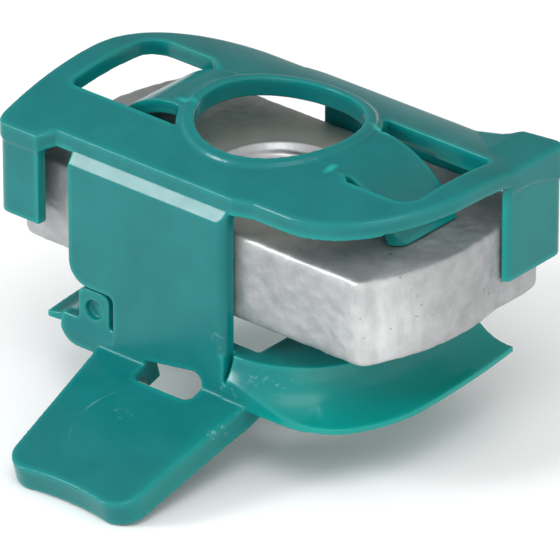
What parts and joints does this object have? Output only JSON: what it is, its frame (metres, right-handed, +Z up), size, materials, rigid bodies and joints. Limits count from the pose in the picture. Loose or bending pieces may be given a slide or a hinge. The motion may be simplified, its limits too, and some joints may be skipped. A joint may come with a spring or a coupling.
{
  "type": "channel nut",
  "caption": "Galvanised steel channel nut with a threaded bore, held in a moulded spring retainer with arched tongues, flared wings and a finger handle for turning it into a strut channel.",
  "frame": {"origin": "centre of the threaded bore at the nut's bearing face, which sits on the channel lips", "axes": "+X along the nut's length, across the channel when locked; -Y along the handle; +Z up the bore axis to the cambered plate"},
  "size_m": [0.0372, 0.0351, 0.0242],
  "materials": {
    "galvanised_steel": "dull hot-dip galvanised, slightly rough with small pits and brighter worn edges",
    "teal_plastic": "semi-gloss moulded plastic in teal green, with fine scuffs and bright edges"
  },
  "bodies": {
    "root": {"nut_block": "galvanised_steel", "spring_retainer": "teal_plastic"}
  },
  "joints": []
}
